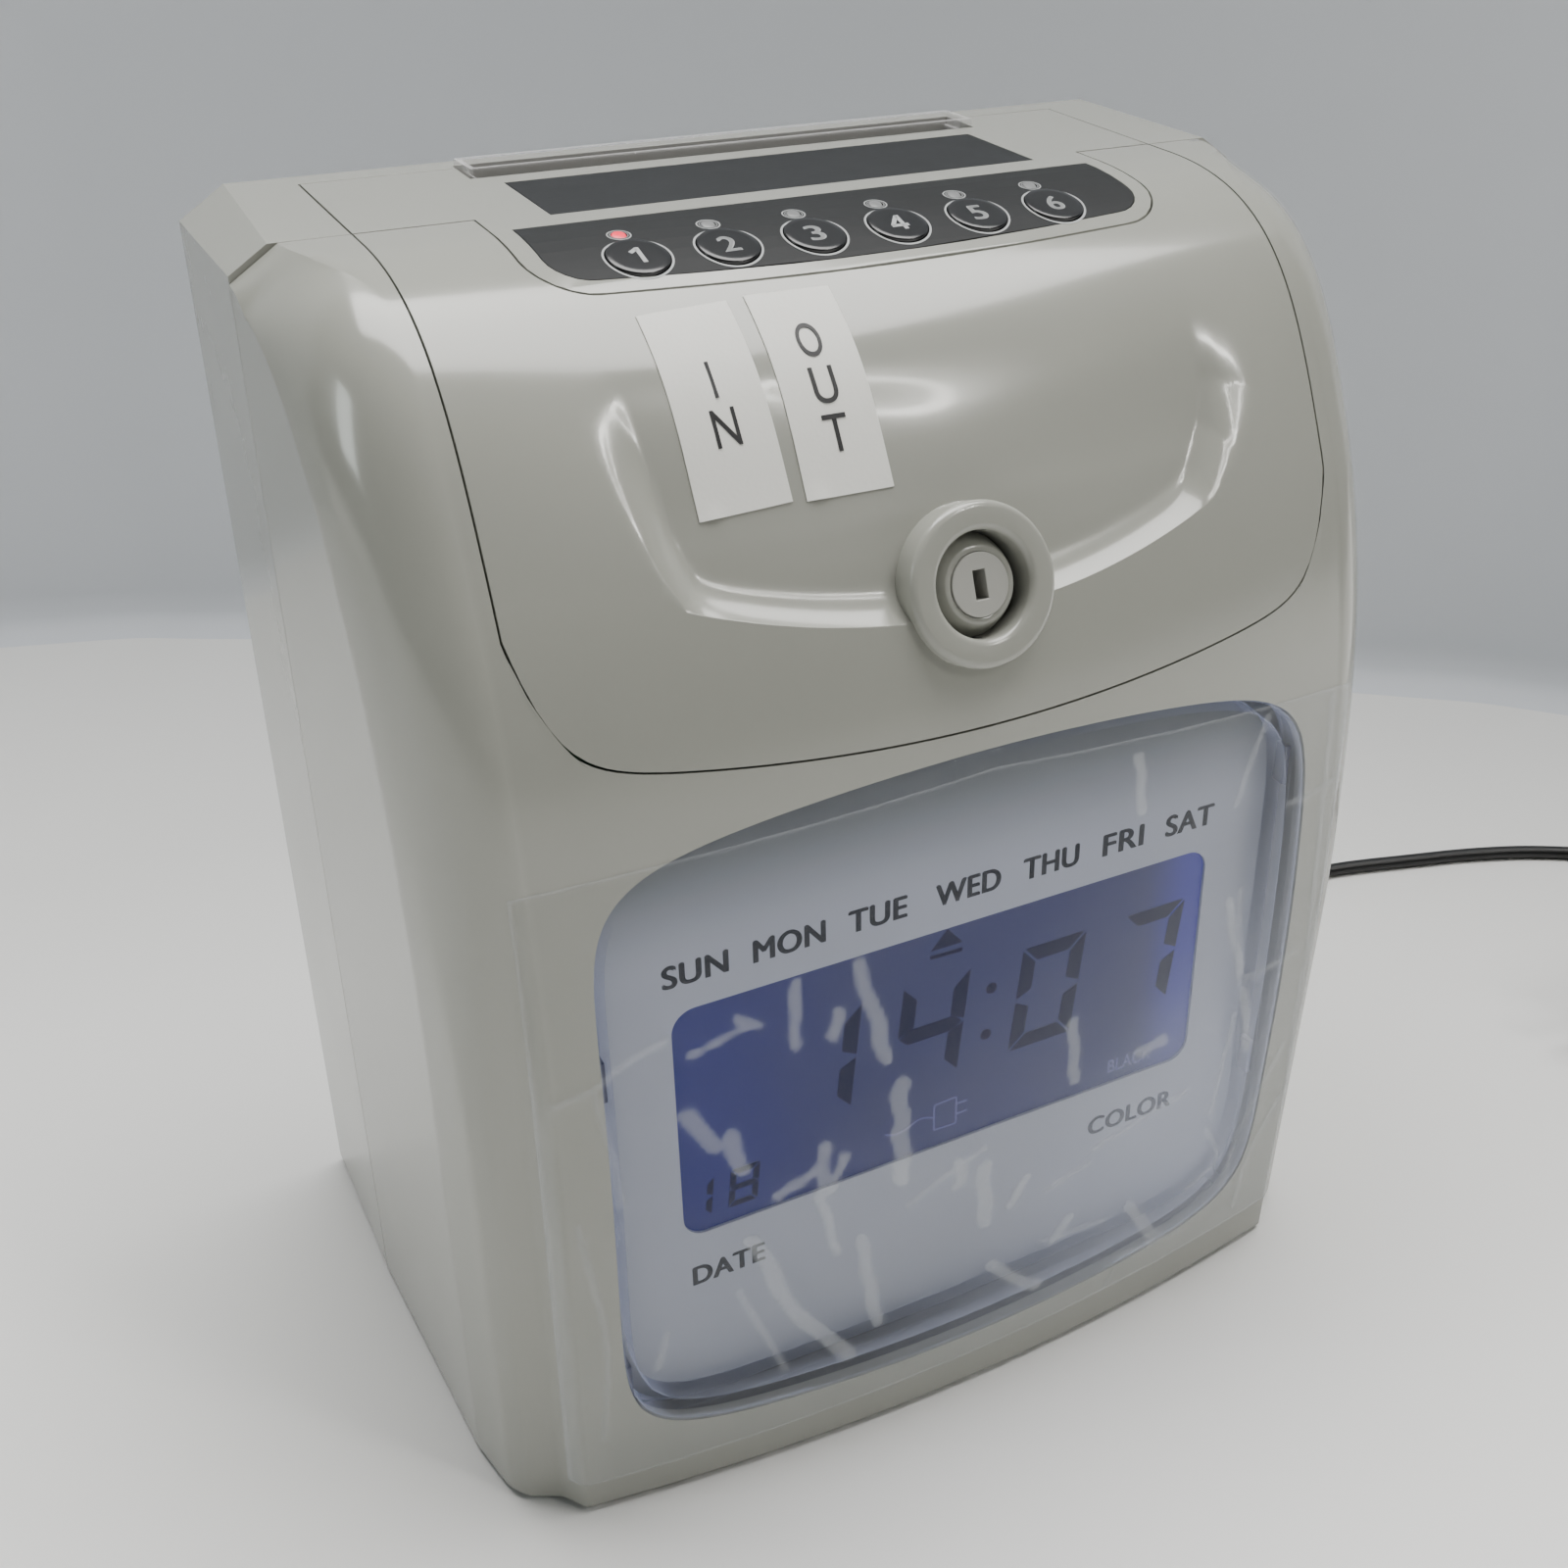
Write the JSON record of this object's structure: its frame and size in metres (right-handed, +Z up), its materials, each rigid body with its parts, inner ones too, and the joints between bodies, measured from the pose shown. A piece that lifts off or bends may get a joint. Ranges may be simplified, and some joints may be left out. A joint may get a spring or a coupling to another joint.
{
  "type": "time clock",
  "caption": "Desktop time recorder: case with hinged locking lid, card slot, print mechanism and display behind a clear window.",
  "frame": {"origin": "bottom centre of the case's box, on the surface the feet stand on", "axes": "+X to the viewer's right, -Y out of the display, +Z up"},
  "size_m": [0.3621, 0.1731, 0.1988],
  "materials": {
    "case_grey": "glossy moulded",
    "dark_plate": "satin",
    "foot_rubber": "matte",
    "clear_window": "polished clear",
    "thin_film": "thin clear film",
    "clear_guide": "clear moulded",
    "black_plastic": "fine grain",
    "gloss_black": "glossy",
    "panel_black": "satin",
    "key_black": "satin",
    "light_pipe": "translucent",
    "circuit_board": "solder mask",
    "lock_grey": "glossy moulded",
    "core_grey": "satin lacquer",
    "zinc_steel": "zinc plated",
    "polished_steel": "ground",
    "sheet_pale": "printed sheet",
    "lcd_glass": "display glass",
    "backlight_white": "diffuser",
    "roller_rubber": "matte",
    "gear_white": "moulded",
    "brass_pinion": "machined",
    "motor_can": "plated can",
    "head_metal": "anodised",
    "cassette_plastic": "fine grain",
    "ribbon_fabric": "inked nylon",
    "knob_white": "moulded",
    "battery_wrap": "shrink wrap",
    "cord_black": "satin jacket",
    "adapter_black": "fine grain"
  },
  "bodies": {
    "case": {"rear_cover": "case_grey", "front_cover": "case_grey", "top_plate": "case_grey", "base_plate": "dark_plate", "rubber_feet": "foot_rubber", "display_window": "clear_window", "protective_film": "thin_film", "card_guide": "clear_guide", "card_chute": "black_plastic", "dark_strip": "gloss_black", "key_panel": "panel_black", "status_lights": "light_pipe", "key_board": "circuit_board", "lock_keeper": "zinc_steel", "hinge_pins": "zinc_steel", "display_sheet": "sheet_pale", "lcd_panel": "lcd_glass", "backlight": "backlight_white", "display_board": "circuit_board", "board_screws": "zinc_steel", "cover_screws": "zinc_steel", "left_frame": "zinc_steel", "right_frame": "zinc_steel", "guide_rod": "polished_steel", "feed_motor": "motor_can", "carriage_motor": "motor_can", "ribbon_cassette": "cassette_plastic", "ink_ribbon": "ribbon_fabric", "main_board": "circuit_board", "backup_battery": "battery_wrap", "buzzer": "black_plastic", "dc_jack": "black_plastic", "dc_plug": "cord_black", "cord_run": "cord_black", "cord_coil": "cord_black", "power_adapter": "adapter_black"},
    "lid": {"lid_cover": "case_grey", "lock_housing": "lock_grey", "lock_nut": "zinc_steel"},
    "lock": {"lock_core": "core_grey", "lock_cam": "zinc_steel"},
    "feed": {"feed_shaft": "polished_steel", "feed_rollers": "roller_rubber", "feed_gear": "gear_white"},
    "feed_pinion": {"motor_pinion": "brass_pinion"},
    "pinch": {"pinch_rollers": "gear_white"},
    "carriage_block": {"carriage": "black_plastic", "print_head": "head_metal"},
    "screw": {"lead_screw": "polished_steel", "screw_gear": "gear_white"},
    "drive_pinion": {"screw_pinion": "brass_pinion"},
    "ribbon_wheel": {"ribbon_knob": "knob_white"},
    "button_1": {"key_1": "key_black"},
    "button_2": {"key_2": "key_black"},
    "button_3": {"key_3": "key_black"},
    "button_4": {"key_4": "key_black"},
    "button_5": {"key_5": "key_black"},
    "button_6": {"key_6": "key_black"}
  },
  "joints": [
    {"name": "lid_hinge", "type": "hinge", "parent": "case", "child": "lid", "pos_m": [0, 0.01742, 0.19462], "axis": [-1, 0, 0], "range_deg": [0, 75]},
    {"name": "lock_turn", "type": "hinge", "parent": "lid", "child": "lock", "pos_m": [0, -0.04019, 0.1532], "axis": [0, 0.9239, -0.3827], "range_deg": [0, 90]},
    {"name": "feed_turn", "type": "hinge", "parent": "case", "child": "feed", "pos_m": [0, 0.03982, 0.122], "axis": [1, 0, 0], "continuous": true},
    {"name": "feed_pinion_turn", "type": "hinge", "parent": "case", "child": "feed_pinion", "pos_m": [0, 0.03005, 0.11036], "axis": [1, 0, 0], "continuous": true},
    {"name": "pinch_turn", "type": "hinge", "parent": "case", "child": "pinch", "pos_m": [0, 0.04922, 0.122], "axis": [1, 0, 0], "continuous": true},
    {"name": "screw_turn", "type": "hinge", "parent": "case", "child": "screw", "pos_m": [0, 0.01843, 0.136], "axis": [1, 0, 0], "range_deg": [-1440, 1440]},
    {"name": "drive_pinion_turn", "type": "hinge", "parent": "case", "child": "drive_pinion", "pos_m": [0, 0.00556, 0.1252], "axis": [1, 0, 0], "range_deg": [-3600, 3600]},
    {"name": "carriage_slide", "type": "slide", "parent": "case", "child": "carriage_block", "axis": [1, 0, 0], "range_m": [-0.024, 0.024]},
    {"name": "ribbon_turn", "type": "hinge", "parent": "case", "child": "ribbon_wheel", "pos_m": [0.03, 0.00042, 0.16], "axis": [0, 0, 1], "continuous": true},
    {"name": "key_1_press", "type": "slide", "parent": "case", "child": "button_1", "axis": [0, 0.2881, -0.9576], "range_m": [0, 0.0005], "stiffness_N_per_m": 300},
    {"name": "key_2_press", "type": "slide", "parent": "case", "child": "button_2", "axis": [0, 0.2881, -0.9576], "range_m": [0, 0.0005], "stiffness_N_per_m": 300},
    {"name": "key_3_press", "type": "slide", "parent": "case", "child": "button_3", "axis": [0, 0.2881, -0.9576], "range_m": [0, 0.0005], "stiffness_N_per_m": 300},
    {"name": "key_4_press", "type": "slide", "parent": "case", "child": "button_4", "axis": [0, 0.2881, -0.9576], "range_m": [0, 0.0005], "stiffness_N_per_m": 300},
    {"name": "key_5_press", "type": "slide", "parent": "case", "child": "button_5", "axis": [0, 0.2881, -0.9576], "range_m": [0, 0.0005], "stiffness_N_per_m": 300},
    {"name": "key_6_press", "type": "slide", "parent": "case", "child": "button_6", "axis": [0, 0.2881, -0.9576], "range_m": [0, 0.0005], "stiffness_N_per_m": 300}
  ],
  "couplings": [
    {"joint": "feed_pinion_turn", "follows": "feed_turn", "ratio": -2.1667},
    {"joint": "pinch_turn", "follows": "feed_turn", "ratio": -3.3333},
    {"joint": "screw_turn", "follows": "carriage_slide", "rad_per_m": 523.6},
    {"joint": "drive_pinion_turn", "follows": "carriage_slide", "rad_per_m": -1309}
  ]
}
